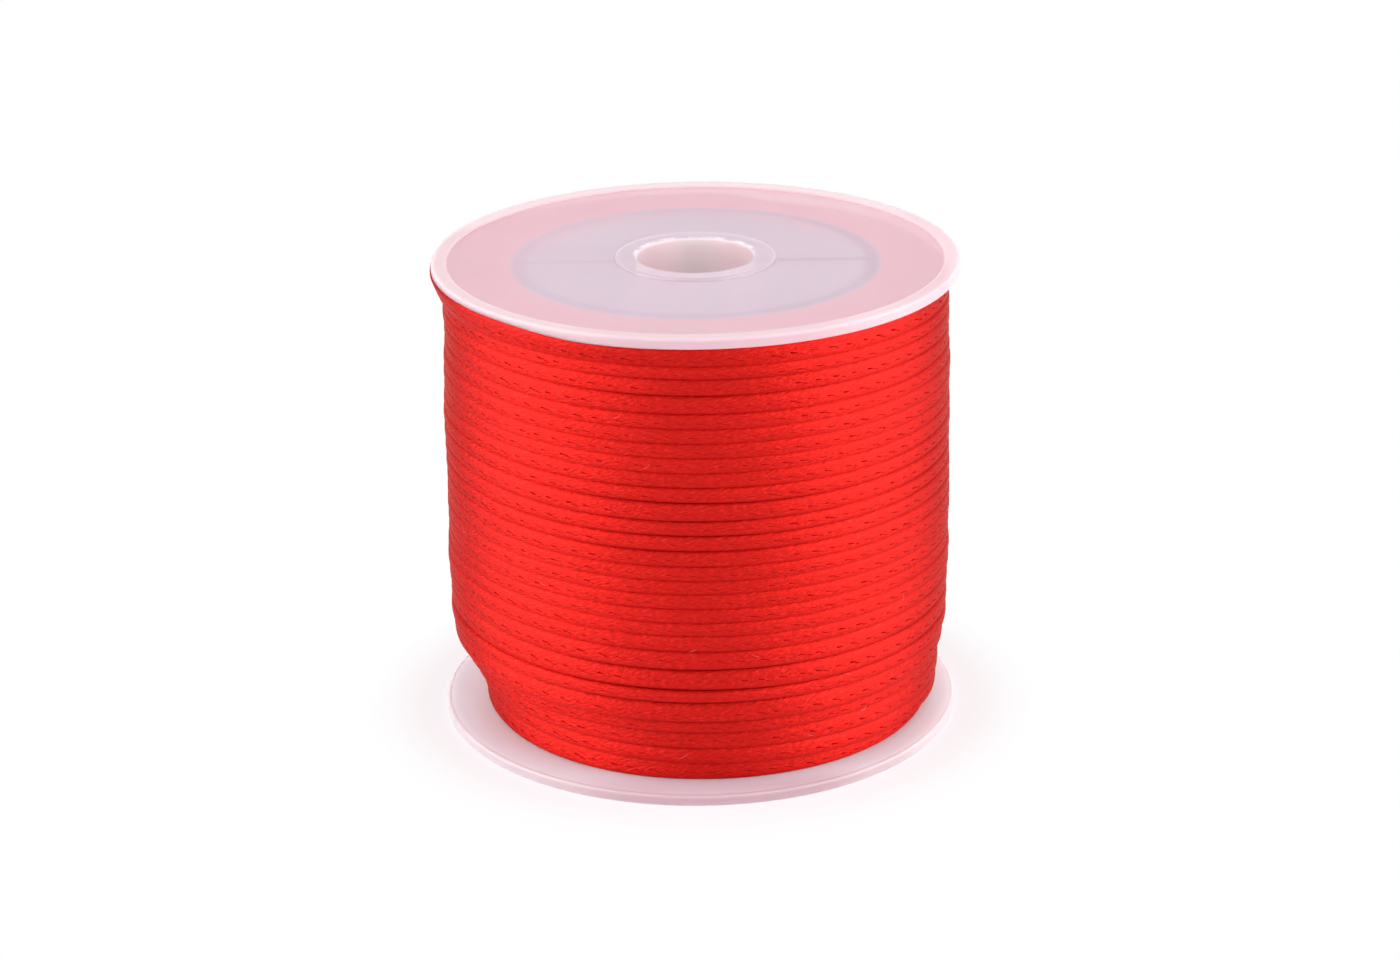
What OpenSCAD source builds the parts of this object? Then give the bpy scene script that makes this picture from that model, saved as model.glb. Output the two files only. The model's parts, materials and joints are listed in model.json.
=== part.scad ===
// Flanged cord spool: two moulded halves pressed together at mid-height,
// wound with one length of soft satin cord in four layers.
// Millimetres, +Z up. The origin is on the spool's axis, at the plane it stands on.

/* [Flanges] */
// Diameter of both flanges
flange_d = 46; // [46:0.5:60]
// Height of the finished spool, over both rims
spool_h = 42; // [24:1:70]
// Thickness of the flange plate inside the rim
flange_t = 0.7; // [0.5:0.1:2]
// Width of the raised rim at the flange's edge
rim_w = 1.4; // [0.8:0.1:3]
// How far the rim and the collar stand proud of the flange plate
rim_rise = 0.3; // [0.1:0.1:1]
// Rounding of the corners of the rim, the collar and the bore's mouth
edge_r = 0.25; // [0.1:0.05:0.3]

/* [Hub] */
// Diameter of the bore
bore_d = 10.2; // [6:0.2:16]
// Wall of the tube around the bore
tube_wall = 1; // [0.8:0.1:2]
// Width of the raised collar around the bore's mouth
collar_w = 1.9; // [1.2:0.1:3]
// Outer diameter of the barrel that carries the cord
barrel_d = 32; // [28:0.5:40]
// Wall of the barrel
barrel_wall = 1.2; // [1:0.1:2]
// Thickness of the two webs between the bore's tube and the barrel
web_t = 0.8; // [0.6:0.1:2]

/* [Joint between the halves] */
// Length of the spigot on the upper half's barrel
spigot_l = 3; // [1.5:0.5:6]
// Radial clearance around the spigot
spigot_gap = 0.05; // [0.02:0.01:0.1]
// Clearance at the spigot's end and beside the webs
web_gap = 0.25; // [0.1:0.05:0.5]

/* [Gate mark] */
// Width of the gate mark on each flange's edge
gate_w = 0.8; // [0.4:0.1:1.5]
// How far the gate mark stands out from the edge
gate_out = 0.3; // [0.1:0.05:0.4]
// Angle of the gate mark from the back of the spool, towards the right
gate_angle = 8; // [0:1:45]

/* [Cord] */
// Diameter of the cord before it is wound
cord_d = 1.5; // [1:0.1:2]
// Height of one turn on the spool, as a share of the cord's diameter
turn_share = 0.94; // [0.85:0.01:1]
// Thickness of one layer, as a share of the cord's diameter
layer_share = 1.03; // [0.9:0.01:1.1]
// Clearance between the cord's layers and around them
cord_gap = 0.04; // [0.02:0.01:0.1]
// Depth of the groove between two turns, as a share of the cord's diameter
groove_share = 0.24; // [0.1:0.01:0.4]

/* [Lower end of the winding] */
// Turns by which the third layer stops short of the lower flange
short_turns = 3; // [2:1:4]
// Turns over which the outer layer climbs back to its full radius
climb_turns = 6; // [5:1:9]
// How far the outer layer falls in at the lower flange, as a share of a layer
fall_share = 1.1; // [0.5:0.05:1.1]

/* [Tucked end of the cord] */
// Where the last turn starts, from the front of the spool towards the right
last_start = -55; // [-90:5:0]
// Angle over which the end lies under the last turn
tuck_angle = 130; // [60:5:150]
// Angle over which the cord slips under the last turn, and over which that turn sinks back
slip_angle = 35; // [25:5:50]
// Thickness of the cord where it lies doubled, as a share of its diameter
doubled_share = 0.7; // [0.6:0.05:0.7]
// Room that the swept end keeps from the round layer under it
sweep_gap = 0.1; // [0.1:0.05:0.15]

/* [Hidden] */
layers = 4;

plastic = [0.90, 0.84, 0.89, 0.75];
cord_red = [0.93, 0.09, 0.08];
round_fn = 96;
corner_steps = 4;
groove_steps = 4;
sweep_step = 10;
sweep_sides = 8;

flange_r = flange_d / 2;
rim_in_r = flange_r - rim_w;
edge_t = flange_t + rim_rise;
joint_z = spool_h / 2;
bore_r = bore_d / 2;
tube_r = bore_r + tube_wall;
collar_r = bore_r + collar_w;
barrel_r = barrel_d / 2;
barrel_in_r = barrel_r - barrel_wall;
spigot_r = barrel_r - (barrel_wall + spigot_gap) / 2;
socket_r = spigot_r + spigot_gap;
socket_z = joint_z - spigot_l - web_gap;
web_bite = tube_wall / 2;

layer_t = cord_d * layer_share;
winding_h = spool_h - 2 * edge_t;
turns = floor(winding_h / (cord_d * turn_share));
pitch = winding_h / turns;
groove = cord_d * groove_share;

// Points of an arc in the section plane, from angle a0 to a1
function arc(r, z, radius, a0, a1) =
    [for (i = [0 : corner_steps])
        let (a = a0 + (a1 - a0) * i / corner_steps)
        [r + radius * cos(a), z + radius * sin(a)]];

// Section of a half that stands on its flange, with its joint end at joint_z
function half_section(joint_end) = concat(
    arc(bore_r + edge_r, edge_r, edge_r, 180, 270),
    arc(collar_r - edge_r, edge_r, edge_r, 270, 360),
    [[collar_r, rim_rise], [rim_in_r, rim_rise]],
    arc(rim_in_r + edge_r, edge_r, edge_r, 180, 270),
    arc(flange_r - edge_r, edge_r, edge_r, 270, 360),
    arc(flange_r - edge_r, edge_t - edge_r, edge_r, 0, 90),
    [[barrel_r, edge_t], [barrel_r, joint_z]],
    joint_end,
    [[barrel_in_r, edge_t], [tube_r, edge_t], [tube_r, joint_z], [bore_r, joint_z]]);

spigot_end = [[spigot_r, joint_z], [spigot_r, joint_z + spigot_l],
    [barrel_in_r, joint_z + spigot_l]];
socket_end = [[socket_r, joint_z], [socket_r, socket_z], [barrel_in_r, socket_z]];

// One web box on each side, from the bore's tube out to radius r_end
module web_pair(r_end, z0, z1) {
    for (side = [0, 180])
        rotate(side)
            translate([tube_r - web_bite, -web_t / 2, z0])
                cube([r_end - tube_r + web_bite, web_t, z1 - z0]);
}

module gate_mark() {
    rotate(90 - gate_angle)
        translate([flange_r - edge_r, -gate_w / 2, edge_r])
            cube([edge_r + gate_out, gate_w, edge_t - 2 * edge_r]);
}

// The upper half is made standing on its flange and then turned over
module upper_half() {
    color(plastic)
        translate([0, 0, spool_h])
            mirror([0, 0, 1])
                union() {
                    rotate_extrude($fn = round_fn) polygon(half_section(spigot_end));
                    web_pair(barrel_in_r + web_bite, edge_t - flange_t / 2, joint_z - web_gap);
                    gate_mark();
                }
}

module lower_half() {
    color(plastic)
        union() {
            rotate_extrude($fn = round_fn) polygon(half_section(socket_end));
            web_pair(barrel_in_r + web_bite, edge_t - flange_t / 2, socket_z - web_gap);
            web_pair(barrel_in_r - web_gap, socket_z - 2 * web_gap, joint_z - web_gap);
            gate_mark();
        }
}

// Radius of a full layer's outer face
function layer_r(layer) = barrel_r + cord_gap + layer * layer_t;
function smooth(t) = let (u = min(max(t, 0), 1)) u * u * (3 - 2 * u);
// How far turn i of the outer two layers is drawn in beside the lower flange
function fall(i) = fall_share * layer_t * (1 - smooth((i + 0.5) / climb_turns));
function turn_r(layer, i) = layer_r(layer) - (layer > 2 ? fall(i) : 0);
function first_turn(layer) = layer == 3 ? short_turns : 0;
function last_turn(layer) = layer == layers ? turns - 2 : turns - 1;
// Radius under turn i: the plastic barrel, the full layer below or the drawn-in third layer
function seat_r(layer, i) =
    layer < 4 ? layer_r(layer - 1) + (layer > 1 ? cord_gap : 0)
    : (i < short_turns ? layer_r(2) : turn_r(3, i)) + cord_gap;
function turn_z(i) = edge_t + i * pitch;

// Outline of one layer: a rounded bump for each turn outside, its seat inside
function layer_section(layer) = concat(
    [for (i = [first_turn(layer) : last_turn(layer)], k = [0 : groove_steps])
        let (a = -90 + 180 * k / groove_steps)
        [turn_r(layer, i) - groove * (1 - cos(a)),
         turn_z(i + 0.5) + (pitch / 2 - cord_gap / 2) * sin(a)]],
    [for (j = [first_turn(layer) : last_turn(layer)])
        let (i = first_turn(layer) + last_turn(layer) - j)
        for (z = [turn_z(i + 1) - cord_gap / 2, turn_z(i) + cord_gap / 2])
            [seat_r(layer, i), z]]);

module cord_layer(layer) {
    color(cord_red)
        rotate_extrude($fn = round_fn) polygon(layer_section(layer));
}

// The last turn runs clockwise, seen from above. Its beginning lies over the tucked
// end, and after one turn the cord slips in under that beginning
tuck_t = cord_d * doubled_share;
flat_r = layer_r(3) + sweep_gap + (layer_t - 2 * sweep_gap) / 2;
under_r = layer_r(3) + sweep_gap + tuck_t / 2;
over_r = under_r + tuck_t + cord_gap;
sweep_rings = round((360 + tuck_angle) / sweep_step);

function raised(s) = 1 - smooth((s - tuck_angle) / slip_angle);
function tucked(s) = smooth((s - 360 + slip_angle) / slip_angle);
function sweep_r(s) =
    flat_r + (over_r - flat_r) * raised(s) + (under_r - flat_r) * tucked(s);
function sweep_half(s) =
    (layer_t / 2 - sweep_gap) + (tuck_t / 2 - layer_t / 2 + sweep_gap) * (raised(s) + tucked(s));

// Corners of one ring of the swept end, s degrees on from its start
function sweep_ring(s) =
    [for (k = [0 : sweep_sides - 1])
        let (a = 360 * k / sweep_sides,
             r = sweep_r(s) + sweep_half(s) * cos(a),
             turn = last_start - s)
        [r * sin(turn), -r * cos(turn),
         turn_z(turns - 0.5) + (pitch / 2 - cord_gap) * sin(a)]];

module cord_end() {
    points = [for (j = [0 : sweep_rings]) each sweep_ring(j * sweep_step)];
    sides = [for (j = [0 : sweep_rings - 1], k = [0 : sweep_sides - 1])
        let (a = j * sweep_sides + k,
             b = j * sweep_sides + (k + 1) % sweep_sides)
        [a, b, b + sweep_sides, a + sweep_sides]];
    first_cap = [for (k = [0 : sweep_sides - 1]) sweep_sides - 1 - k];
    last_cap = [for (k = [0 : sweep_sides - 1]) sweep_rings * sweep_sides + k];
    color(cord_red)
        polyhedron(points, concat([first_cap], sides, [last_cap]), convexity = 10);
}

upper_half();
lower_half();
for (layer = [1 : layers])
    cord_layer(layer);
cord_end();
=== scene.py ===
import json
import math

import bpy
import numpy as np
from mathutils import Matrix, Vector


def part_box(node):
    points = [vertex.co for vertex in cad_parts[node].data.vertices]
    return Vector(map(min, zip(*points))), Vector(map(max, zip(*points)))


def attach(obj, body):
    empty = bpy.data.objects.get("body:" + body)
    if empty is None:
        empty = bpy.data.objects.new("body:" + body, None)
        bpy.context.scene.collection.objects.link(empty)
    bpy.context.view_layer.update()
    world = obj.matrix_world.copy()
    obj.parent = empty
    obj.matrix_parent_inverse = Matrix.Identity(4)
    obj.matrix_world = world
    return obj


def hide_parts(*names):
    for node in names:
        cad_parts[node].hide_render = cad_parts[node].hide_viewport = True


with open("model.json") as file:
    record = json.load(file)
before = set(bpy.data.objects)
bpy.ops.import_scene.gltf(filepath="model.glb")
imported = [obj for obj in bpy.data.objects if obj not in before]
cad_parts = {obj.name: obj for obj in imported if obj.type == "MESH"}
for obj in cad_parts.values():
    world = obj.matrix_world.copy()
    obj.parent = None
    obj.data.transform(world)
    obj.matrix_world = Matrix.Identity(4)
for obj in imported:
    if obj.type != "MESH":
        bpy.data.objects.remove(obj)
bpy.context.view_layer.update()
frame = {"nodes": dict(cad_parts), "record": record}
mm = 0.001  # lengths below are in millimetres and go to Blender in metres


def nodeCorners(name):
    low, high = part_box(name)
    return np.array(low) / mm, np.array(high) / mm


def smooth(t):
    t = np.clip(t, 0.0, 1.0)
    return t * t * (3 - 2 * t)


def ripple(x, rng, waves):  # slow seeded unevenness along x, about -1 to 1
    total = 0
    for wave in waves:
        total = total + np.sin(2 * math.pi * (wave * x + rng.random()))
    return total / len(waves) ** 0.5


# what the winding takes from the frame
firstLayerLow, firstLayerHigh = nodeCorners("cord_layer_1")
layerStep = nodeCorners("cord_layer_2")[1][0] - firstLayerHigh[0]
barrelRadius = firstLayerHigh[0] - layerStep
windingRadius = nodeCorners("cord_layer_4")[1][0]
windingLow = firstLayerLow[2]
windingHigh = firstLayerHigh[2]
flangeRadius, _, spoolHeight = nodeCorners("upper_half")[1]
boreRadius = frame["record"]["mounts"][0]["dims"]["r_mm"]

camera = {
    "elevation": 20.95,
    "distance": 310.0,
    "lens": 89.44,
    "sensor": 36.0,
    "roll": -0.7,
    "aimRight": 0.168,
    "aimUp": -0.023,
}


def placeCamera():
    data = bpy.data.cameras.new("camera")
    data.lens = camera["lens"]
    data.sensor_width = camera["sensor"]
    data.clip_start = 0.01
    data.clip_end = 20.0
    obj = bpy.data.objects.new("camera", data)
    bpy.context.scene.collection.objects.link(obj)
    tilt = math.radians(camera["elevation"])
    right = Vector((1, 0, 0))
    up = Vector((0, math.sin(tilt), math.cos(tilt)))
    away = Vector((0, -math.cos(tilt), math.sin(tilt)))
    target = Vector((0, 0, spoolHeight / 2)) + right * camera["aimRight"] + up * camera["aimUp"]
    roll = Matrix.Rotation(math.radians(camera["roll"]), 3, away)
    axes = Matrix((roll @ right, roll @ up, away)).transposed()
    place = (target + away * camera["distance"]) * mm
    obj.matrix_world = Matrix.Translation(place) @ axes.to_4x4()
    bpy.context.scene.camera = obj


placeCamera()
print("camera placed")

# one length of cord: down, up and down again under the layer that shows
cord = {
    "diameter": 1.5,
    "turns": 28,
    "innerRings": 22,  # rings per turn in the hidden layers
    "outerRings": 112,
    "sides": 20,
    "squareness": 4.6,  # 2 is an ellipse, more is boxier
    "start": 140.0,  # bearing where the outer layer begins: 0 front, 90 right
    "crossing": 0.35,  # turns taken to run down to the lower flange
    "shortTurns": 3,  # turns by which the third layer stops short of that flange
    "layerRamp": 0.16,  # turns taken to step up onto the next hidden layer
    "hiddenHeight": 0.97,  # how much of its room a hidden turn fills
    "climbBias": 0.3,  # a turn climbs more on one side of the spool
    "climbBearing": -15.0,
    "fall": 2.25,  # how far the outer layer is drawn in at the lower flange
    "fallSide": 0.95,  # more on the left by this much
    "fallSideFrom": 0.8,  # height over which that side difference doubles
    "fallSideRise": 1.2,
    "climbStart": 0.3,
    "climb": 9.7,  # height over which it comes back out
    "climbSide": 1.3,
    "topIn": 0.2,  # how far it is drawn in again towards the upper flange
    "topInFrom": 26.0,
    "topInRise": 12.0,
    "plump": 0.08,  # how far the soft cord bulges past the plain layer
    "heights": [  # of the turns at the front, against each other, from the lower flange up
        1.2, 1.05, 1.2, 0.9, 1.4, 0.85, 1.4, 1.2, 0.9, 0.9, 0.85, 0.9, 0.9, 0.9,
        0.95, 1.0, 0.95, 1.1, 0.95, 0.95, 0.85, 0.85, 0.95, 0.9, 1.1, 1.05, 0.8, 1.22,
    ],
    "heightRipple": 0.05,
    "heightWaves": [0.31, 0.77, 1.3, 2.1, 3.4],  # waves per turn
    "rippleFade": 1.5,  # turns over which that ripple dies down beside each flange
    "proud": [-0.22, 0.05, -0.1, -0.1, 0.05, 0.02, -0.05, 0.05, 0.05, 0.05],  # turn by turn
    "proudRipple": 0.05,
    "proudWaves": [0.23, 0.9, 1.7, 2.9],
    "pressed": 0.14,  # how far neighbouring turns flatten against each other
    "sidePressed": 0.05,  # and how much more halfway round to each side
    "openGrooves": {  # grooves that are less pressed or gape, counted from the lower flange
        1: -0.04, 2: -0.04, 3: 0.04, 4: 0.06, 5: 0.24, 6: -0.06, 7: 0.3,
        15: 0.04, 16: 0.12, 18: 0.23, 25: 0.17,
    },
    "rightFoot": 0.22,  # how far the lowest turns bulge on the right
    "footTurns": 1.95,
    "footRamp": 0.3,
    "halfThick": [0.62, 0.8],  # least and most half thickness of the outer layer
    "joinRings": 24,  # rings on each side of the join between the hidden and the outer layer
    "joinWindow": 9,
    "flangeGap": 0.02,
    "edgeRounding": 0.25,  # of the flange's edge, which the lapping cord follows
    "seed": 11,
}

# the last half turn rides up beside the flange, and its end slips under the cord before it
lastTurn = {
    "leanFrom": 20,  # bearings run on round the left and the back: -90 left, -180 back
    "leanRamp": 0.11,  # ramps are in turns
    "lean": 0.5,  # how far its upper side leans out
    "rideFrom": 15,
    "rideRamp": 0.14,
    "raise": 0.66,  # how far it rides up on the turn below
    "leastHigh": [0.3, 0.58],  # its least half height, and what riding up adds to that
    "lapFrom": -14,
    "lapRamp": 0.095,
    "overEdge": 0.6,  # how far it laps up over the flange's edge
    "settleFrom": -110,
    "settleRamp": 0.15,
    "diveFrom": -185,
    "diveRamp": 0.09,
    "liftAt": -215,  # where the turn before it is lifted by the end beneath
    "liftRamp": 0.14,
    "lift": 0.35,
    "endAt": -250,
    "endOut": 0.35,  # how far the tucked end lies off the third layer
    "endDrop": 0.9,
    "endThick": 0.42,
    "endHigh": 0.75,
}


def climbed(turn):  # how far along the helix the cord is after so many turns
    a = math.radians(cord["start"] - cord["climbBearing"])
    return turn + cord["climbBias"] / (2 * math.pi) * (math.sin(a) - np.sin(a - 2 * math.pi * turn))


def turnAt(bearing, turns):  # turns from the outer layer's start to a bearing
    return turns + (cord["start"] - bearing) / 360


def outerFace(z, bearing):
    side = np.sin(np.radians(bearing))
    doubled = 1 + smooth((z - windingLow - cord["fallSideFrom"]) / cord["fallSideRise"])
    depth = cord["fall"] - cord["fallSide"] * side * doubled / 2
    start = windingLow + cord["climbStart"] * (1 - side)
    rise = cord["climb"] + cord["climbSide"] * side
    top = cord["topIn"] * smooth((z - cord["topInFrom"]) / cord["topInRise"])
    return windingRadius - depth * (1 - smooth((z - start) / rise)) - top


def innerStretch():
    turns = cord["turns"]
    pitch = (windingHigh - windingLow) / turns
    short = cord["shortTurns"]
    ramp = cord["layerRamp"]
    full, fewer = 4, 3  # layers in the winding, and beside the lower flange
    total = 3 * turns - short + cord["crossing"]
    q = np.linspace(0, total, int(total * cord["innerRings"]) + 1)  # turns wound so far
    down = np.clip(turns - 0.5 - q, 0, turns - 1)
    up = np.clip(q - turns - 0.5, 0, turns - 1)
    back = np.clip(3 * turns - 0.5 - q, short - 0.5, turns - 1)
    back = back * (1 - smooth((q - 3 * turns + short) / cord["crossing"]))
    index = np.where(q < turns, down, np.where(q < 2 * turns, up, back))
    rank = 1 + smooth((q - turns) / ramp + 0.5) + smooth((q - 2 * turns) / ramp + 0.5)
    z = windingLow + (index + 0.5) * pitch
    bearing = cord["start"] + 360 * (total - q)
    inShort = 1 - smooth((z - windingLow) / pitch - short + 0.5)
    room = outerFace(z, bearing) - barrelRadius
    share = (rank - 0.5) / full * (1 - inShort) + (rank - 0.5) / fewer * inShort
    radius = barrelRadius + room * share
    thick = room / (2 * full) * (1 - inShort) + room / (2 * fewer) * inShort
    high = np.full_like(z, pitch / 2 * cord["hiddenHeight"])
    return bearing, radius, z, thick, high, 0 * z


def grooveHeights():  # height of each groove between turns, at the front
    heights = np.concatenate([[0], np.cumsum(cord["heights"])])
    return windingLow + (windingHigh - windingLow) * heights / heights[-1]


def easedThrough(x, knotX, knotY):  # a smooth curve through the knots
    slope = np.gradient(knotY, knotX)
    slope[0] = slope[-1] = 0
    i = np.clip(np.searchsorted(knotX, x) - 1, 0, len(knotX) - 2)
    gap = knotX[i + 1] - knotX[i]
    t = np.clip((x - knotX[i]) / gap, 0, 1)
    first = (1 + 2 * t) * (1 - t) ** 2 * knotY[i] + t * t * (3 - 2 * t) * knotY[i + 1]
    return first + gap * (t * (1 - t) ** 2 * slope[i] - t * t * (1 - t) * slope[i + 1])


def grooveAt(helix, knots):  # height of the groove under the cord, with a slow ripple
    fade = cord["rippleFade"]
    edge = np.clip((helix - knots[0]) / fade, 0, 1) * np.clip((knots[-1] - helix) / fade, 0, 1)
    uneven = ripple(helix, np.random.default_rng(cord["seed"] + 1), cord["heightWaves"])
    return easedThrough(helix, knots, grooveHeights()) + cord["heightRipple"] * edge * uneven


def fittingThickness(high):  # half thickness that keeps the cord's section at this half height
    area = math.pi * (cord["diameter"] / 2) ** 2
    p = cord["squareness"]
    filled = 4 * math.gamma(1 + 1 / p) ** 2 / math.gamma(1 + 2 / p)
    return np.clip(area / filled / high, *cord["halfThick"])


def outerStretch():
    rng = np.random.default_rng(cord["seed"])
    turns = cord["turns"]
    atFront = climbed(turnAt(0, 0))
    knots = np.arange(turns + 1) + atFront
    last = turnAt(lastTurn["endAt"], turns - 1)
    q = np.linspace(0, last, int(last * cord["outerRings"]) + 1)  # turns wound so far
    helix = climbed(q)
    bearing = cord["start"] - 360 * q

    low, top = grooveAt(helix, knots), grooveAt(helix + 1, knots)
    gaps = np.array([cord["openGrooves"].get(i, -cord["pressed"]) for i in range(turns + 1)])
    gapsBeside = np.interp(helix, knots, gaps) + np.interp(helix + 1, knots, gaps)
    z = (low + top) / 2
    high = (top - low) / 2 - gapsBeside / 4
    high += cord["sidePressed"] * np.sin(2 * np.radians(bearing)) ** 2
    proudTurns = np.arange(len(cord["proud"])) + atFront
    proud = np.interp(helix, proudTurns, cord["proud"], right=0)
    proud += cord["proudRipple"] * ripple(helix, rng, cord["proudWaves"])
    rightSide = np.clip(np.sin(np.radians(bearing)), 0, 1) ** 2
    foot = smooth((atFront + cord["footTurns"] - helix) / cord["footRamp"])
    proud += cord["rightFoot"] * rightSide * foot

    def since(event):  # 0 before that place on the last turn, 1 after its ramp
        start = turnAt(lastTurn[event + "From"], turns - 1)
        return smooth((q - start) / lastTurn[event + "Ramp"])

    riding = since("ride")
    diving = since("dive")
    settling = since("settle")
    leaning = since("lean") - settling
    lapping = since("lap") - settling
    least, more = lastTurn["leastHigh"]
    high = np.maximum(high, more * riding + least)
    z = np.where(q > turnAt(lastTurn["leanFrom"], turns - 1), windingHigh - high, z)
    high = high + lastTurn["overEdge"] / 2 * lapping
    z = z + lastTurn["overEdge"] / 2 * lapping
    thick = fittingThickness(high)
    fromLift = np.abs(q - turnAt(lastTurn["liftAt"], turns - 2))
    proud += lastTurn["lift"] * smooth(1 - fromLift / lastTurn["liftRamp"])
    radius = outerFace(z, bearing) + cord["plump"] + proud + lastTurn["raise"] * riding - thick
    radius += diving * (barrelRadius + 3 * layerStep + lastTurn["endOut"] - radius)
    z -= diving * lastTurn["endDrop"]
    thick += diving * (lastTurn["endThick"] - thick)
    high += diving * (lastTurn["endHigh"] - high)
    return bearing, radius, z, thick, high, lastTurn["lean"] * leaning


def cordRings():
    inner = innerStretch()
    outer = outerStretch()
    rows = [np.concatenate([a[:-1], b]) for a, b in zip(inner, outer)]
    outerStart = len(inner[0]) - 1
    near = np.abs(np.arange(len(rows[0])) - outerStart) < cord["joinRings"]
    window = np.ones(cord["joinWindow"]) / cord["joinWindow"]
    for row in rows[1:5]:  # all but the bearing and the lean, which run on evenly
        row[near] = np.convolve(row, window, "same")[near]
    return rows, outerStart


def ringPoints(bearing, radius, z, thick, high, lean):
    turn = np.radians(bearing)
    outward = np.stack([np.sin(turn), -np.cos(turn), 0 * turn], -1)
    centre = outward * radius[:, None] + np.array([0, 0, 1]) * z[:, None]
    around = math.pi + 2 * math.pi * np.arange(cord["sides"]) / cord["sides"]
    c, s = np.cos(around), np.sin(around)
    p = cord["squareness"]
    reach = (np.abs(c) ** p + np.abs(s) ** p) ** (-1 / p)
    out = thick[:, None] * reach * c + lean[:, None] * reach * s
    points = centre[:, None] + outward[:, None] * out[..., None]
    points[..., 2] += high[:, None] * reach * s

    # under the flange the soft cord lies flat against it
    rounding = cord["edgeRounding"]
    inset = np.clip(np.hypot(points[..., 0], points[..., 1]) - flangeRadius + rounding, 0, rounding)
    ceiling = windingHigh - cord["flangeGap"] + rounding - np.sqrt(rounding**2 - inset**2)
    points[..., 2] = np.where(inset < rounding, np.minimum(points[..., 2], ceiling), points[..., 2])
    return centre, points


def meshObject(name, points, faces, shade=True):
    mesh = bpy.data.meshes.new(name)
    mesh.from_pydata((np.asarray(points).reshape(-1, 3) * mm).tolist(), [], faces)
    mesh.validate()
    if shade:
        mesh.polygons.foreach_set("use_smooth", [True] * len(mesh.polygons))
    obj = bpy.data.objects.new(name, mesh)
    bpy.context.scene.collection.objects.link(obj)
    return obj


def layAlong(obj, along, count):  # a map of the cord: how far along it, and how far round it
    sides = cord["sides"]
    girth = math.pi * cord["diameter"] / sides
    corner = np.zeros(((count - 1) * sides, 4, 2))
    j, k = np.divmod(np.arange((count - 1) * sides), sides)
    corner[:, 0] = np.stack([along[j], k * girth], -1)
    corner[:, 1] = np.stack([along[j + 1], k * girth], -1)
    corner[:, 2] = np.stack([along[j + 1], (k + 1) * girth], -1)
    corner[:, 3] = np.stack([along[j], (k + 1) * girth], -1)
    ends = np.zeros((2 * sides, 2))
    layer = obj.data.uv_layers.new(name="cordLine")
    layer.data.foreach_set("uv", np.concatenate([corner.reshape(-1, 2), ends]).ravel())


def makeCord():
    rings, outerStart = cordRings()
    centre, points = ringPoints(*rings)
    count, sides = points.shape[:2]
    faces = []
    for j in range(count - 1):
        for k in range(sides):
            a, b = j * sides + k, j * sides + (k + 1) % sides
            faces.append((a, a + sides, b + sides, b))
    faces.append(tuple(range(sides)))
    faces.append(tuple(range(count * sides - 1, (count - 1) * sides - 1, -1)))
    obj = meshObject("satinCord", points, faces)
    along = np.concatenate([[0], np.cumsum(np.linalg.norm(np.diff(centre, axis=0), axis=1))])
    layAlong(obj, along, count)
    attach(obj, "root")
    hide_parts(*[f"cord_layer_{n}" for n in range(1, 5)], "cord_end")
    print(f"cord wound: {along[-1] * mm:.2f} m, {len(obj.data.polygons)} faces")
    return obj, centre, points, along, outerStart


cordObject, cordCentre, cordPoints, cordAlong, outerStart = makeCord()

# the short dark lines where the cover's yarns cross, one row along each turn: slivers on the small
# pits there, dark with painted shade
stitches = {
    "startAfter": 3.0,
    "stopBefore": 20.0,
    "spacing": 1.7,
    "jitter": (-0.12, 0.12),  # of the place along the row and across it
    "length": 0.66,
    "lengths": (0.75, 1.15),  # shares of that length
    "strengths": (0.45, 1.0),  # shares of the widths
    "headWidth": 0.12,
    "tailWidth": 0.04,
    "spread": [0.15, 0.35, 0.5, 0.7, 1.0, 0.35],  # the head is the end nearer the cord's end
    "height": -0.1,  # how far up the turn the row lies, as a share of its half height
    "wander": 0.25,  # how far the row strays up and down, in sides of the cord
    "wanderOver": 70.0,
    "slant": 6.0,
    "follow": 0.6,  # a fainter second slit follows each one so far behind
    "follows": (0.7, 1.3),
    "drop": 0.13,
    "secondLengths": (0.5, 0.9),
    "secondStrengths": (0.2, 0.75),
    "frontShare": 0.4,  # how wide they are at the front, where the painted shade of the pits hardly shows
    "frontReach": 0.5,  # how far aside they are at full width, as a share of the flange's radius
    "proud": 0.015,
    "sunk": -0.01,
    "seed": 5,
}


def onCord(ring, side):  # point on the cord's faces at fractional ring and side numbers
    sides = cord["sides"]
    j = np.clip(np.floor(ring).astype(int), 0, len(cordCentre) - 2)
    k = np.floor(side).astype(int)
    t, u = (ring - j)[..., None], (side - k)[..., None]
    k0, k1 = k % sides, (k + 1) % sides
    first = cordPoints[j, k0] * (1 - u) + cordPoints[j, k1] * u
    second = cordPoints[j + 1, k0] * (1 - u) + cordPoints[j + 1, k1] * u
    middle = cordCentre[j] * (1 - t) + cordCentre[j + 1] * t
    place = first * (1 - t) + second * t
    outward = place - middle
    return place, outward / np.linalg.norm(outward, axis=-1, keepdims=True)


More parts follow.
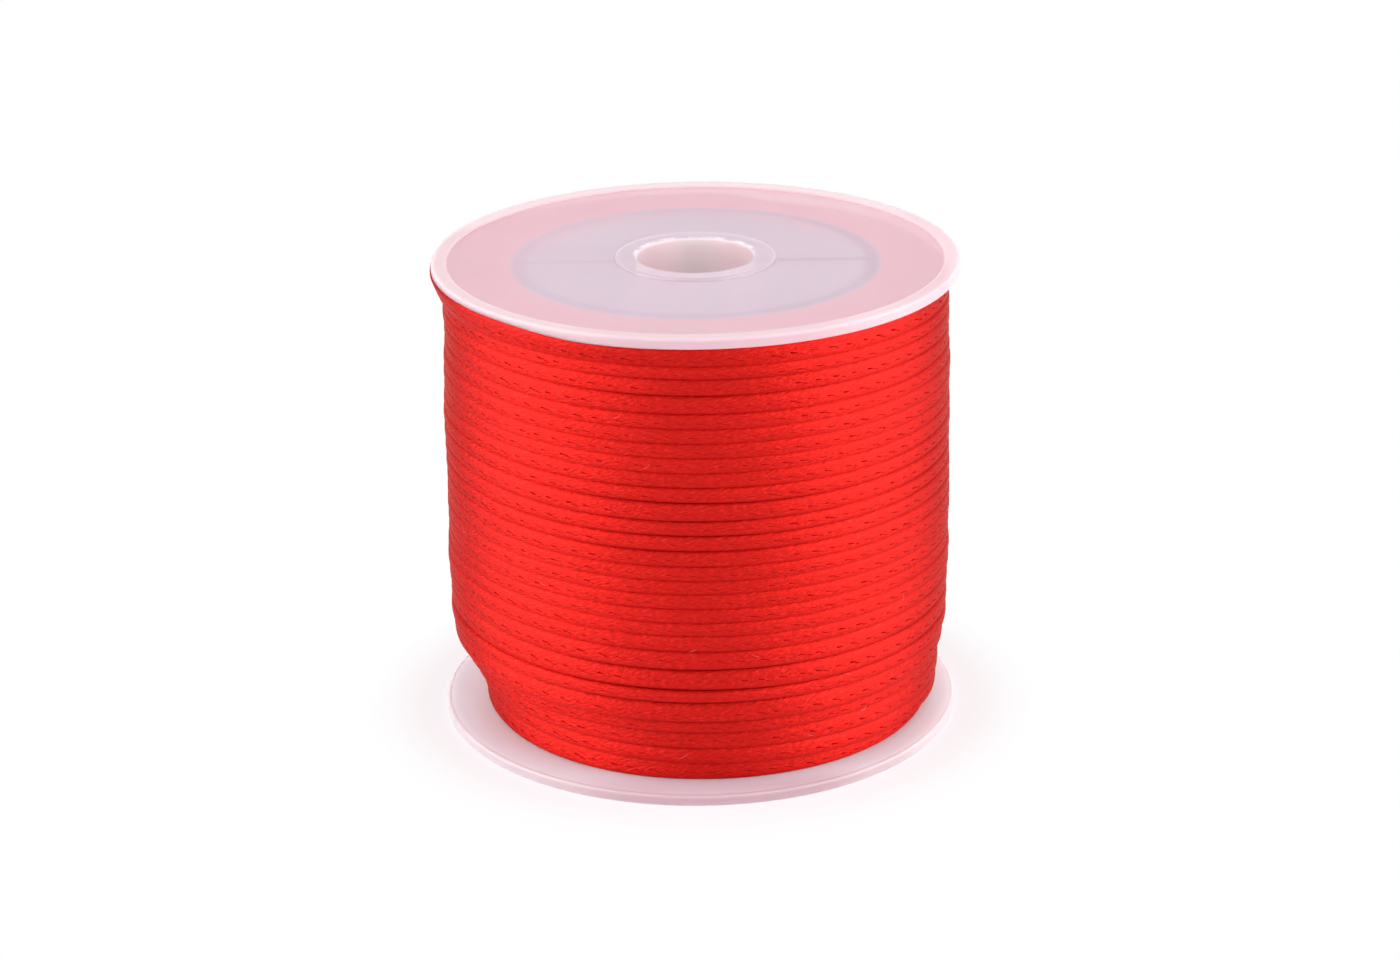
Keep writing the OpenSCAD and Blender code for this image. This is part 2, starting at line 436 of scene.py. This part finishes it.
def makeStitches():
    rng = np.random.default_rng(stitches["seed"])
    sideStep = math.pi * cord["diameter"] / cord["sides"] * 0.95  # width of one side of the cord
    row = cord["sides"] / 2 + stitches["height"] * cord["diameter"] / 2 / sideStep
    begin = cordAlong[outerStart] + stitches["startAfter"]
    end = cordAlong[-1] - stitches["stopBefore"]
    count = int((end - begin) / stitches["spacing"])
    at = begin + stitches["spacing"] * (np.arange(count) + rng.uniform(*stitches["jitter"], count))
    length = stitches["length"] * rng.uniform(*stitches["lengths"], count)
    row = row + stitches["wander"] * ripple(at / stitches["wanderOver"], rng, [0.4, 1.1, 2.3])
    row = row + rng.uniform(*stitches["jitter"], count)
    strength = rng.uniform(*stitches["strengths"], count)
    behind = stitches["follow"] * rng.uniform(*stitches["follows"], count)

    # the second slits, shorter and fainter
    at = np.concatenate([at, at - behind])
    row = np.concatenate([row, row - stitches["drop"] / sideStep])
    length = np.concatenate([length, length * rng.uniform(*stitches["secondLengths"], count)])
    fainter = rng.uniform(*stitches["secondStrengths"], count)
    strength = np.concatenate([strength, strength * fainter])
    aside = np.abs(np.interp(at, cordAlong, cordCentre[:, 0])) / flangeRadius
    least = stitches["frontShare"]
    strength *= least + (1 - least) * smooth(aside / stitches["frontReach"])

    part = np.linspace(-0.5, 0.5, len(stitches["spread"]))
    along = at[:, None] + length[:, None] * part
    ring = np.interp(along, cordAlong, np.arange(len(cordAlong)))
    slope = math.tan(math.radians(stitches["slant"]))
    side = row[:, None] + slope * length[:, None] * part / sideStep
    taper = stitches["headWidth"] - stitches["tailWidth"]
    wide = stitches["tailWidth"] + taper * np.array(stitches["spread"])
    wide = wide * strength[:, None] / sideStep
    across = np.array([-1, 0, 1])
    side = side[..., None] + wide[..., None] * across
    place, outward = onCord(ring[..., None] + 0 * across, side)
    lift = np.array([stitches["sunk"], stitches["proud"], stitches["sunk"]])
    points = place + outward * lift[None, None, :, None]
    faces = []
    for n in range(len(at)):
        for i in range(len(part) - 1):
            for m in range(2):
                a = (n * len(part) + i) * 3 + m
                faces.append((a, a + 3, a + 4, a + 1))
    obj = meshObject("yarnCrossings", points, faces)
    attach(obj, "root")
    print(f"{len(at)} yarn crossings laid")
    return obj


stitchObject = makeStitches()

# a few fine fibres that stand off the satin, their pale tone a painted glint
strays = {
    "count": 40,
    "startAfter": 20.0,
    "stopBefore": 90.0,
    "offRow": 1.5,  # how far from the middle of the turn they grow, in sides of the cord
    "lean": 1.2,  # radians off the cord's direction
    "length": 0.9,
    "lengths": (0.5, 1.3),  # shares of that length
    "bend": 0.5,
    "rise": 0.35,
    "rises": (0.3, 1.0),  # shares of that rise
    "curls": (1.8, 3.0),  # radians of a sine wave that the fibre rises and falls by
    "rooted": 0.02,
    "thickness": 0.03,
    "taper": 0.6,
    "seed": 23,
}


def makeStrays():
    rng = np.random.default_rng(strays["seed"])
    count = strays["count"]
    first = np.searchsorted(cordAlong, cordAlong[outerStart] + strays["startAfter"])
    last = np.searchsorted(cordAlong, cordAlong[-1] - strays["stopBefore"])
    ring = rng.integers(first, last, count)
    part = np.linspace(0, 1, 9)
    angles = 2 * math.pi * np.arange(3) / 3
    faces, points = [], []
    for n in range(count):
        side = cord["sides"] / 2 + rng.uniform(-strays["offRow"], strays["offRow"], 1)
        place, outward = onCord(ring[n : n + 1] + 0.5, side)
        place, outward = place[0], outward[0]
        lengthwise = cordCentre[ring[n] + 1] - cordCentre[ring[n]]
        lengthwise = lengthwise / np.linalg.norm(lengthwise)
        across = np.cross(outward, lengthwise)
        lean = rng.uniform(-strays["lean"], strays["lean"])
        along = lengthwise * math.cos(lean) * rng.choice([-1, 1]) + across * math.sin(lean)
        reach = strays["length"] * rng.uniform(*strays["lengths"])
        bend = rng.uniform(-strays["bend"], strays["bend"])
        rise = strays["rise"] * rng.uniform(*strays["rises"])
        height = rise * np.sin(part * rng.uniform(*strays["curls"])) - strays["rooted"]
        sideways = np.cross(outward, along)
        path = place + np.outer(part * reach, along) + np.outer(height, outward)
        path += np.outer(bend * part**2 * reach, sideways)
        thick = strays["thickness"] / 2 * (1 - strays["taper"] * part)
        around = np.outer(np.cos(angles), outward) + np.outer(np.sin(angles), sideways)
        base = len(points) * 3 * len(part)
        points.append(path[:, None] + thick[:, None, None] * around)
        for i in range(len(part) - 1):
            for k in range(3):
                a, b = base + i * 3 + k, base + i * 3 + (k + 1) % 3
                faces.append((a, b, b + 3, a + 3))
        end = base + 3 * (len(part) - 1)
        faces += [(base, base + 2, base + 1), (end, end + 1, end + 2)]
    obj = meshObject("strayFibres", points, faces)
    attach(obj, "root")
    print(f"{count} stray fibres set")
    return obj


strayObject = makeStrays()


def colour(red, green, blue, alpha=1.0):  # from 0-255 screen values
    linear = []
    for value in (red, green, blue):
        share = value / 255
        linear.append(share / 12.92 if share <= 0.04045 else ((share + 0.055) / 1.055) ** 2.4)
    return (*linear, alpha)


def newMaterial(name):
    material = bpy.data.materials.new(name)
    material.use_nodes = True
    material.node_tree.nodes.clear()
    return material, material.node_tree


def addNode(tree, kind, inputs=None, **settings):
    node = tree.nodes.new("ShaderNode" + kind)
    for key, value in settings.items():
        setattr(node, key, value)
    for key, value in (inputs or {}).items():
        if isinstance(value, bpy.types.NodeSocket):
            tree.links.new(value, node.inputs[key])
        else:
            node.inputs[key].default_value = value
    return node


def noise(tree, vector, scale, detail, roughness=0.5):
    inputs = {"Vector": vector, "Scale": scale, "Detail": detail, "Roughness": roughness}
    return addNode(tree, "TexNoise", inputs).outputs["Fac"]


def stretched(tree, vector, scale, turn=0.0):
    inputs = {"Vector": vector, "Rotation": (0, 0, math.radians(turn)), "Scale": scale}
    return addNode(tree, "Mapping", inputs).outputs["Vector"]


def mixed(tree, factor, first, second):
    inputs = {"Factor": factor, "A": first, "B": second}
    return addNode(tree, "Mix", inputs, data_type="FLOAT").outputs["Result"]


def calculated(tree, operation, first, second=0.0):
    return addNode(tree, "Math", {0: first, 1: second}, operation=operation).outputs[0]


def product(tree, first, *others):
    for other in others:
        first = calculated(tree, "MULTIPLY", first, other)
    return first


def lengthOf(tree, vector):
    return addNode(tree, "VectorMath", {0: vector}, operation="LENGTH").outputs["Value"]


def ranged(tree, value, start, end, low=0.0, high=1.0, curve="LINEAR"):
    inputs = {"Value": value, "From Min": start, "From Max": end, "To Min": low, "To Max": high}
    return addNode(tree, "MapRange", inputs, interpolation_type=curve).outputs[0]


def eased(tree, value, start, end, low=0.0, high=1.0):  # the same over millimetres, softly
    return ranged(tree, value, start * mm, end * mm, low, high, "SMOOTHSTEP")


def band(tree, value, middle, halfWidth, edge):  # 1 within halfWidth of the middle, 0 past the edge
    away = calculated(tree, "ABSOLUTE", calculated(tree, "SUBTRACT", value, middle * mm))
    return eased(tree, away, halfWidth + edge, halfWidth - edge)


def tones(tree, factor, stops):  # a run of colours, each with its place from 0 to 1
    ramp = addNode(tree, "ValToRGB", {"Fac": factor})
    elements = ramp.color_ramp.elements
    elements.remove(elements[1])
    elements[0].position = stops[0][0]
    elements[0].color = colour(*stops[0][1])
    for place, tone in stops[1:]:
        elements.new(place).color = colour(*tone)
    return ramp.outputs["Color"]


def finishMaterial(tree, socket):
    output = tree.nodes.new("ShaderNodeOutputMaterial")
    tree.links.new(socket, output.inputs["Surface"])


def dress(obj, material):
    obj.data.materials.clear()
    obj.data.materials.append(material)


satin = {
    "tones": [(0.32, (188, 0, 2)), (0.52, (213, 1, 2)), (0.7, (236, 34, 30))],
    "metallic": 0.72,
    "roughness": 0.42,
    "ior": 1.85,
    "specular": 1.0,
    "edgeTint": (0.6, 0.34, 0.26, 1.0),  # what it mirrors at a grazing look
    "anisotropy": 0.9,
    "anisotropyTurn": 0.25,
    "fibreAngle": 14.0,
    "fibreScale": (1.8, 6.4, 1),  # per millimetre, along and round the cord
    "fibreNoise": (1.0, 3.0, 0.6),
    "fibreDepth": 0.13,
    "patchScale": (0.16, 0.5, 1),
    "patchNoise": (1.0, 2.0, 0.5),
    "patchShare": 0.2,
}


def satinMaterial():
    material, tree = newMaterial("redSatin")
    line = addNode(tree, "UVMap", uv_map="cordLine").outputs["UV"]
    turned = stretched(tree, line, (1, 1, 1), satin["fibreAngle"])
    fibre = noise(tree, stretched(tree, turned, satin["fibreScale"]), *satin["fibreNoise"])
    patches = noise(tree, stretched(tree, line, satin["patchScale"]), *satin["patchNoise"])
    base = tones(tree, mixed(tree, satin["patchShare"], fibre, patches), satin["tones"])
    relief = {"Height": fibre, "Strength": 1.0, "Distance": satin["fibreDepth"] * mm}
    bump = addNode(tree, "Bump", relief)
    tangent = addNode(tree, "Tangent", direction_type="UV_MAP", uv_map="cordLine")
    cloth = addNode(
        tree,
        "BsdfPrincipled",
        {
            "Base Color": base,
            "Metallic": satin["metallic"],
            "Roughness": satin["roughness"],
            "IOR": satin["ior"],
            "Specular IOR Level": satin["specular"],
            "Specular Tint": satin["edgeTint"],
            "Anisotropic": satin["anisotropy"],
            "Anisotropic Rotation": satin["anisotropyTurn"],
            "Tangent": tangent.outputs["Tangent"],
            "Normal": bump.outputs["Normal"],
        },
    )
    finishMaterial(tree, cloth.outputs["BSDF"])
    return material


yarns = {
    # these dark tones are painted shade in the pits where the yarns cross
    "crossing": {
        "tones": [(0.3, (146, 0, 4)), (0.7, (192, 4, 7))],
        "grain": (900.0, 2.0),  # scale and detail
        "metallic": 0.35,
        "roughness": 0.9,
        "specular": 0.0,
    },
    "stray": {
        # pale tones painted as the glint of light on the red fibres
        "tones": [(0.4, (246, 60, 54)), (0.6, (255, 176, 168))],
        "grain": (1200.0, 1.0),
        "metallic": 0.0,
        "roughness": 0.35,
        "specular": 0.5,
    },
}


def yarnMaterial(name, look):
    material, tree = newMaterial(name)
    place = addNode(tree, "TexCoord").outputs["Object"]
    yarn = addNode(
        tree,
        "BsdfPrincipled",
        {
            "Base Color": tones(tree, noise(tree, place, *look["grain"]), look["tones"]),
            "Metallic": look["metallic"],
            "Roughness": look["roughness"],
            "Specular IOR Level": look["specular"],
        },
    )
    finishMaterial(tree, yarn.outputs["BSDF"])
    return material


dress(cordObject, satinMaterial())
dress(stitchObject, yarnMaterial("pitShadeYarn", yarns["crossing"]))
dress(strayObject, yarnMaterial("paleRedFibre", yarns["stray"]))

plastic = {
    "upperTints": {  # what stands behind the outer face colours most of them, and some are painted light and shade; each is laid over those before
        "cord": (228, 183, 194),
        "hub": (220, 200, 213),
        "wall": (212, 191, 207),
        "web": (207, 187, 202),
        # painted shade dulls the bright line on the collar's rounded edge, and painted light lifts
        # the shade on the step's front wall
        "collar": (202, 183, 195),
        "step": (220, 204, 216),
        # painted light brightens the bore's wall, and painted shade darkens its sides where the
        # side lamps reach
        "bore": (255, 235, 237),
        "boreSide": (230, 207, 211),
        "lip": (216, 198, 209),
        # painted shade along the front of the bore's lip
        "frontLip": (188, 160, 169),
        # a ragged painted highlight on the back of the bore's lip
        "lipGlint": (255, 248, 252),
        "rim": (232, 206, 211),
        "corner": (232, 206, 211),
        "edge": (232, 206, 211),
        # painted shade and light by side: the left edge and the front darker, the right side tinted
        "leftEdge": (212, 178, 188),
        "front": (216, 188, 198),
        "right": (221, 181, 192),
    },
    "lowerTints": {  # where the lower half differs
        "cord": (236, 239, 248),
        "hub": (224, 222, 230),
        "wall": (224, 222, 230),
        "web": (218, 215, 224),
        "rim": (235, 235, 243),
        # painted shade along the lower flange's rounded corner and its side face by the floor
        "corner": (210, 195, 201),
        "edge": (214, 192, 196),
        # painted shade at the left edge and the front, painted light on the right
        "leftEdge": (214, 202, 207),
        "front": (176, 124, 140),
        "right": (255, 255, 255),
    },
    "rings": {  # middle, half width and soft border of each ring that has its own tint
        "collar": (6.9, 0.15, 0.05),
        "step": (7.02, 0.05, 0.03),
        "bore": (0.0, boreRadius + 0.1, 0.05),
        "lip": (boreRadius + 0.2, 0.15, 0.05),
        "rim": (flangeRadius, 1.4, 0.3),
        "corner": (flangeRadius - 0.2, 0.15, 0.05),
        "edge": (flangeRadius + 0.2, 0.25, 0.03),
    },
    "fades": {  # where a tint starts to show and where it shows in full
        "web": (6.8, 7.6),  # outwards
        "collar": (9.0, 4.0),  # from either side
        "boreSide": (1.0, 5.0),  # to either side
        "step": (-1.0, -5.0),  # towards the front
        "frontLip": (-1.0, -3.5),
        "front": (-17.0, -21.0),
        "lipGlint": (-1.0, 2.0),  # towards the back
        "leftEdge": (-10.0, -21.0),  # to the left
        "right": (16.0, 21.0),  # to the right
    },
    "frontBand": (3.0, 12.0, 5.0),  # middle, half width and soft border of the painted front shade along X
    "frontShare": 0.38,  # how far the moulding's tone is taken towards the light and shade painted at its front and right
    "rightShare": 0.3,
    "barrelWall": 1.2,
    "webThickness": 0.8,
    "backLeft": (-18.0, 8.0),  # X less Y over which the barrel and webs come to show in full
    "backLeftShare": 0.3,  # how much they show before it
    "underSoft": 0.3,  # how softly they end
    "seenThrough": 0.9,  # what lies under the plate shows this much nearer the front
    "cloudScale": 110.0,
    "cloud": 0.04,  # how much darker the moulding's cloudy patches are
    "grainScale": 2600.0,
    "grainDepth": 0.02,
    "grainStrength": 0.1,
    "lipGlintScale": 420.0,
    "lipGlintRange": (0.42, 0.56),  # of the noise that makes the painted highlight on the lip ragged
    "thinVeil": 0.82,  # how much of what is behind them the walls hide
    "thickVeil": 0.92,
    "lightVeil": 0.2,  # how much of the light they hold back
    "roughness": 0.42,
    "ior": 1.49,
    "depth": 1.5,  # how far light wanders inside it
    "depthColours": (1.0, 0.9, 0.95),
}


def laidOver(tree, factor, under, over):
    return addNode(tree, "Mix", {0: factor, 6: under, 7: over}, data_type="RGBA").outputs[2]


def plateRegions(tree, place):  # masks of what shows through or on the moulding, and of where light and shade are painted, seen along Z
    axes = addNode(tree, "SeparateXYZ", {"Vector": place})
    x, y = axes.outputs["X"], axes.outputs["Y"]
    flat = addNode(tree, "CombineXYZ", {"X": x, "Y": y}).outputs[0]
    radius = lengthOf(tree, flat)
    aside = calculated(tree, "ABSOLUTE", x)
    rings = {name: band(tree, radius, *ring) for name, ring in plastic["rings"].items()}

    def faded(name, along, *masks):
        return product(tree, eased(tree, along, *plastic["fades"][name]), *masks)

    # the barrel and the webs lie under the plate
    shift = {0: flat, 1: (0, plastic["seenThrough"] * mm, 0)}
    under = addNode(tree, "VectorMath", shift, operation="ADD").outputs["Vector"]
    underRadius = lengthOf(tree, under)
    underY = addNode(tree, "SeparateXYZ", {"Vector": under}).outputs["Y"]
    soft = plastic["underSoft"]
    halfWall = plastic["barrelWall"] / 2
    inside = band(tree, underRadius, 0.0, barrelRadius - halfWall, soft)
    wall = band(tree, underRadius, barrelRadius - halfWall, halfWall, 1.5 * soft)
    web = band(tree, underY, 0.0, plastic["webThickness"] / 2, soft)
    start, end = plastic["backLeft"]
    diagonal = calculated(tree, "SUBTRACT", x, y)
    clear = ranged(tree, diagonal, start * mm, end * mm, plastic["backLeftShare"])

    ragged = noise(tree, flat, plastic["lipGlintScale"], 2.0)
    ragged = ranged(tree, ragged, *plastic["lipGlintRange"])
    front = band(tree, x, *plastic["frontBand"])
    return rings | {
        "hub": band(tree, underRadius, 0.0, barrelRadius, 1.5 * soft),
        "wall": product(tree, wall, clear),
        "web": faded("web", radius, web, inside, clear),
        "collar": faded("collar", aside, rings["collar"]),
        "step": faded("step", y, rings["step"]),
        "boreSide": faded("boreSide", aside, rings["bore"]),
        "frontLip": faded("frontLip", y, rings["lip"]),
        # painted highlight on the back of the lip
        "lipGlint": faded("lipGlint", y, rings["lip"], ragged),
        # where light and shade are painted by side
        "leftEdge": faded("leftEdge", x, rings["edge"]),
        "front": faded("front", y, front, plastic["frontShare"]),
        "right": faded("right", x, plastic["rightShare"]),
    }


def plasticMaterial(name, tints):
    material, tree = newMaterial(name)
    place = addNode(tree, "TexCoord").outputs["Object"]
    cloud = noise(tree, place, plastic["cloudScale"], 3.0)
    grain = noise(tree, place, plastic["grainScale"], 2.0)
    depth = plastic["grainDepth"] * mm
    relief = {"Height": grain, "Strength": plastic["grainStrength"], "Distance": depth}
    bump = addNode(tree, "Bump", relief)
    regions = plateRegions(tree, place)

    # the cord's tint lies under all the others
    tint = addNode(tree, "RGB").outputs[0]
    tint.default_value = colour(*tints["cord"])
    for region in list(tints)[1:]:
        tint = laidOver(tree, regions[region], tint, colour(*tints[region]))
    shade = product(tree, cloud, 2 * plastic["cloud"])
    tint = laidOver(tree, shade, tint, (0, 0, 0, 1))

    # the rim, the bore's wall and the plate's outer part show less of what is behind them
    outer = calculated(tree, "SUBTRACT", 1.0, regions["hub"])
    thick = calculated(tree, "MAXIMUM", outer, regions["bore"])
    veil = mixed(tree, thick, plastic["thinVeil"], plastic["thickVeil"])
    shadowRay = addNode(tree, "LightPath").outputs["Is Shadow Ray"]
    veil = mixed(tree, shadowRay, veil, plastic["lightVeil"])
    inner = addNode(tree, "NewGeometry").outputs["Backfacing"]
    veil = product(tree, calculated(tree, "SUBTRACT", 1.0, inner), veil)
    body = addNode(
        tree,
        "BsdfPrincipled",
        {
            "Base Color": tint,
            "Roughness": plastic["roughness"],
            "IOR": plastic["ior"],
            "Alpha": veil,
            "Subsurface Weight": 1.0,
            "Subsurface Radius": plastic["depthColours"],
            "Subsurface Scale": plastic["depth"] * mm,
            "Normal": bump.outputs["Normal"],
        },
    )
    finishMaterial(tree, body.outputs["BSDF"])
    return material


upperTints = plastic["upperTints"]
lowerTints = upperTints | plastic["lowerTints"]
dress(frame["nodes"]["upper_half"], plasticMaterial("milkyPlasticAbove", upperTints))
dress(frame["nodes"]["lower_half"], plasticMaterial("milkyPlasticBelow", lowerTints))
print("materials set")

studio = {
    "floorSize": 4000.0,
    "floorColour": (0.88, 0.83, 0.88, 1),
    "floorReach": [23.5, 31.0],  # between these distances from the axis
    "floorWhite": [0.66, 1.0],  # the floor comes to hide this much of its shading
    "leftBearing": -77.0,
    "rightBearing": 74.0,
    "sideDistance": 330.0,
    "sideHeight": 60.0,
    "sideSize": 460.0,
    "sidePower": 2.06,
    "topHeight": 500.0,
    "topSize": 420.0,
    "topPower": 1.1,
    "skyColour": (0.97, 0.98, 1.0, 1),
    "skyStrength": 0.32,
}


def seenRays(tree):  # 1 where the camera, a reflection or a clear material looks this way
    rays = addNode(tree, "LightPath").outputs
    seen = calculated(tree, "MAXIMUM", rays["Is Camera Ray"], rays["Is Glossy Ray"])
    return calculated(tree, "MAXIMUM", seen, rays["Is Transmission Ray"])


def mixShaders(tree, share, first, second):
    both = addNode(tree, "MixShader", {0: share})
    tree.links.new(first.outputs[0], both.inputs[1])
    tree.links.new(second.outputs[0], both.inputs[2])
    return both.outputs[0]


def makeFloor():
    half = studio["floorSize"] / 2
    points = [(-half, -half, 0), (half, -half, 0), (half, half, 0), (-half, half, 0)]
    floor = meshObject("floor", points, [(0, 1, 2, 3)], shade=False)
    material, tree = newMaterial("paleFloor")
    paper = addNode(tree, "BsdfDiffuse", {"Color": studio["floorColour"]})
    white = addNode(tree, "Emission", {"Color": (1, 1, 1, 1), "Strength": 1.0})
    away = lengthOf(tree, addNode(tree, "TexCoord").outputs["Object"])
    whiteShare = eased(tree, away, *studio["floorReach"], *studio["floorWhite"])
    whiteShare = product(tree, seenRays(tree), whiteShare)
    finishMaterial(tree, mixShaders(tree, whiteShare, paper, white))
    dress(floor, material)


def makeLamp(name, bearing, height, distance, size, power):  # a square soft lamp aimed at the spool
    data = bpy.data.lights.new(name, "AREA")
    data.shape = "SQUARE"
    data.size = size * mm
    data.energy = power
    obj = bpy.data.objects.new(name, data)
    bpy.context.scene.collection.objects.link(obj)
    turn = math.radians(bearing)
    place = Vector((distance * math.sin(turn), -distance * math.cos(turn), height)) * mm
    aim = Vector((0, 0, spoolHeight / 2)) * mm - place
    obj.location = place
    obj.rotation_euler = aim.to_track_quat("-Z", "Y").to_euler()
    return obj


def makeSky():
    world = bpy.data.worlds.new("studio")
    bpy.context.scene.world = world
    world.use_nodes = True
    tree = world.node_tree
    tree.nodes.clear()
    dim = {"Color": studio["skyColour"], "Strength": studio["skyStrength"]}
    fill = addNode(tree, "Background", dim)
    white = addNode(tree, "Background", {"Color": (1, 1, 1, 1), "Strength": 1.0})
    output = tree.nodes.new("ShaderNodeOutputWorld")
    tree.links.new(mixShaders(tree, seenRays(tree), fill, white), output.inputs["Surface"])


makeFloor()
for side in ("left", "right"):
    makeLamp(
        side + "Softbox",
        studio[side + "Bearing"],
        studio["sideHeight"],
        studio["sideDistance"],
        studio["sideSize"],
        studio["sidePower"],
    )
top = makeLamp("topSoftbox", 0, studio["topHeight"], 0, studio["topSize"], studio["topPower"])
top.visible_glossy = False  # it only brightens, and draws no line along each turn
makeSky()
bpy.context.scene.view_settings.view_transform = "Standard"
print("studio lit")
